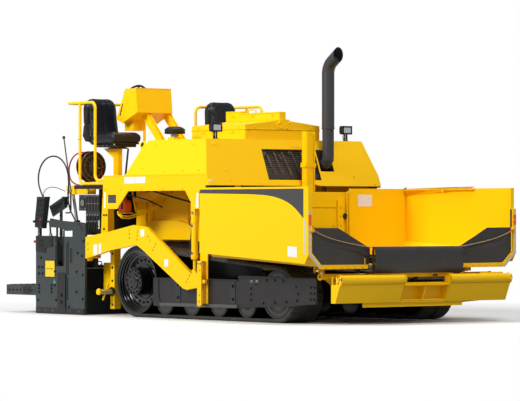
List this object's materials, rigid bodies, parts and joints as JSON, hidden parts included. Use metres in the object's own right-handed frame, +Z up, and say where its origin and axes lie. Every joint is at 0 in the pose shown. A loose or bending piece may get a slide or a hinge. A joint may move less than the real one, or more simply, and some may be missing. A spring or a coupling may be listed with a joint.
{
  "type": "rubber-tracked asphalt paver",
  "caption": "Self-propelled asphalt paver on rubber tracks with a folding front hopper, operator's deck, augers and a towed extending screed.",
  "frame": {"origin": "on the ground under the middle of the machine's overall length and width", "axes": "+X forward towards the hopper, +Y to the machine's left, +Z up"},
  "size_m": [7.034, 3.334, 3.4299],
  "materials": {
    "yellow": "gloss",
    "charcoal": "satin",
    "screed_grey": "satin",
    "black_paint": "gloss",
    "exhaust": "satin",
    "belt_rubber": "matt",
    "sheet_rubber": "satin",
    "seat_vinyl": "satin",
    "rod_chrome": "polished",
    "wear_steel": "worn",
    "engine_paint": "matt",
    "black_plastic": "satin",
    "lamp": "gloss",
    "rope": "matt",
    "red_hose": "satin",
    "cable": "satin"
  },
  "bodies": {
    "tractor": {"main_frame": "charcoal", "body_panels": "yellow", "conveyor_floor": "wear_steel", "conveyor_rollers": "wear_steel", "track_frames": "charcoal", "track_right": "belt_rubber", "track_left": "belt_rubber", "running_wheels": "black_paint", "deck": "yellow", "lift_brackets": "yellow", "hood": "yellow", "grille": "black_plastic", "engine_block": "engine_paint", "exhaust_stack": "exhaust", "work_lights": "lamp", "intake_cap": "black_plastic", "front_cross_tube": "yellow", "centre_curtain": "sheet_rubber", "tow_guides": "yellow", "rear_posts": "yellow", "seat_posts": "yellow", "console": "yellow", "guard_rails": "yellow", "hose_reel": "charcoal", "valve_box": "screed_grey", "rope_right": "rope", "rope_left": "rope", "reel_hose": "red_hose"},
    "engine_cover": {"engine_cover": "yellow"},
    "push_bar": {"push_bar": "yellow"},
    "tow_points": {"tow_points": "yellow"},
    "screed": {"tow_arms": "yellow", "screed_main": "screed_grey", "screed_walkway": "screed_grey"},
    "lift_cylinders": {"lift_cylinders": "screed_grey"},
    "lift_rods": {"lift_rods": "rod_chrome"},
    "steering_wheel": {"steering_wheel": "black_plastic"},
    "hopper_wing_right": {"hopper_wing_right": "yellow", "side_apron_right": "sheet_rubber"},
    "wing_cylinder_right": {"wing_cylinder_right": "yellow"},
    "wing_rod_right": {"wing_rod_right": "rod_chrome"},
    "hopper_wing_left": {"hopper_wing_left": "yellow", "side_apron_left": "sheet_rubber"},
    "wing_cylinder_left": {"wing_cylinder_left": "yellow"},
    "wing_rod_left": {"wing_rod_left": "rod_chrome"},
    "push_roller_right": {"push_roller_right": "yellow"},
    "push_roller_left": {"push_roller_left": "yellow"},
    "screed_extension_right": {"screed_extension_right": "screed_grey", "end_gate_right": "screed_grey", "screed_harness": "cable", "sensor_lead": "cable"},
    "screed_extension_left": {"screed_extension_left": "screed_grey", "end_gate_left": "screed_grey"},
    "auger_right": {"auger_right": "wear_steel"},
    "auger_left": {"auger_left": "wear_steel"},
    "seat_right": {"seat_pan_right": "black_plastic", "seat_pads_right": "seat_vinyl"},
    "seat_left": {"seat_pan_left": "black_plastic", "seat_pads_left": "seat_vinyl"}
  },
  "joints": [
    {"name": "engine_cover_hinge", "type": "hinge", "parent": "tractor", "child": "engine_cover", "pos_m": [0.186, 0.624, 2.375], "axis": [-1, 0, 0], "range_deg": [0, 65]},
    {"name": "wing_fold_right", "type": "hinge", "parent": "tractor", "child": "hopper_wing_right", "pos_m": [2.223, -0.728, 0.79], "axis": [-1, 0, 0], "range_deg": [0, 45]},
    {"name": "wing_cylinder_pivot_right", "type": "hinge", "parent": "tractor", "child": "wing_cylinder_right", "pos_m": [2.873, -0.74, 0.34], "axis": [-1, 0, 0], "range_deg": [0, 23.82]},
    {"name": "wing_rod_slide_right", "type": "slide", "parent": "wing_cylinder_right", "child": "wing_rod_right", "axis": [0, -0.8262, 0.5633], "range_m": [0, 0.2499]},
    {"name": "wing_fold_left", "type": "hinge", "parent": "tractor", "child": "hopper_wing_left", "pos_m": [2.223, 0.728, 0.79], "axis": [1, 0, 0], "range_deg": [0, 45]},
    {"name": "wing_cylinder_pivot_left", "type": "hinge", "parent": "tractor", "child": "wing_cylinder_left", "pos_m": [2.873, 0.74, 0.34], "axis": [1, 0, 0], "range_deg": [0, 23.82]},
    {"name": "wing_rod_slide_left", "type": "slide", "parent": "wing_cylinder_left", "child": "wing_rod_left", "axis": [0, 0.8262, 0.5633], "range_m": [0, 0.2499]},
    {"name": "push_bar_swing", "type": "hinge", "parent": "tractor", "child": "push_bar", "pos_m": [3.253, 0, 0.37], "axis": [0, 0, 1], "range_deg": [-3, 3]},
    {"name": "push_roller_spin_right", "type": "hinge", "parent": "push_bar", "child": "push_roller_right", "pos_m": [3.459, -0.85, 0.538], "axis": [0, 1, 0], "continuous": true},
    {"name": "push_roller_spin_left", "type": "hinge", "parent": "push_bar", "child": "push_roller_left", "pos_m": [3.459, 0.85, 0.538], "axis": [0, 1, 0], "continuous": true},
    {"name": "tow_point_lift", "type": "slide", "parent": "tractor", "child": "tow_points", "axis": [0, 0, 1], "range_m": [0, 0.12]},
    {"name": "screed_lift", "type": "hinge", "parent": "tow_points", "child": "screed", "pos_m": [0.788, 0, 0.476], "axis": [0, 1, 0], "range_deg": [0, 6]},
    {"name": "extension_slide_right", "type": "slide", "parent": "screed", "child": "screed_extension_right", "axis": [0, -1, 0], "range_m": [0, 1.15]},
    {"name": "extension_slide_left", "type": "slide", "parent": "screed", "child": "screed_extension_left", "axis": [0, 1, 0], "range_m": [0, 1.15]},
    {"name": "lift_cylinder_pivot", "type": "hinge", "parent": "screed", "child": "lift_cylinders", "pos_m": [-2.19, 0, 0.85], "axis": [0, -1, 0], "range_deg": [0, 20.09]},
    {"name": "lift_rod_slide", "type": "slide", "parent": "lift_cylinders", "child": "lift_rods", "axis": [0.2336, 0, -0.9723], "range_m": [0, 0.2727]},
    {"name": "auger_spin_right", "type": "hinge", "parent": "tractor", "child": "auger_right", "pos_m": [-1.627, -0.55, 0.36], "axis": [0, 1, 0], "continuous": true},
    {"name": "auger_spin_left", "type": "hinge", "parent": "tractor", "child": "auger_left", "pos_m": [-1.627, 0.55, 0.36], "axis": [0, 1, 0], "continuous": true},
    {"name": "steering_turn", "type": "hinge", "parent": "tractor", "child": "steering_wheel", "pos_m": [-1.447, -0.7, 2.84], "axis": [-0.894, 0, 0.448], "range_deg": [-270, 270]},
    {"name": "seat_swivel_right", "type": "hinge", "parent": "tractor", "child": "seat_right", "pos_m": [-1.432, -1, 2.183], "axis": [0, 0, 1], "range_deg": [-15, 15]},
    {"name": "seat_swivel_left", "type": "hinge", "parent": "tractor", "child": "seat_left", "pos_m": [-1.432, 1, 2.183], "axis": [0, 0, 1], "range_deg": [-15, 15]}
  ],
  "couplings": [
    {"joint": "wing_cylinder_pivot_right", "follows": "wing_fold_right", "ratio": 0.52827},
    {"joint": "wing_rod_slide_right", "follows": "wing_fold_right", "m_per_rad": 0.31754},
    {"joint": "wing_cylinder_pivot_left", "follows": "wing_fold_left", "ratio": 0.52827},
    {"joint": "wing_rod_slide_left", "follows": "wing_fold_left", "m_per_rad": 0.31754},
    {"joint": "lift_cylinder_pivot", "follows": "screed_lift", "ratio": 3.3407},
    {"joint": "lift_rod_slide", "follows": "screed_lift", "m_per_rad": 2.5993}
  ]
}
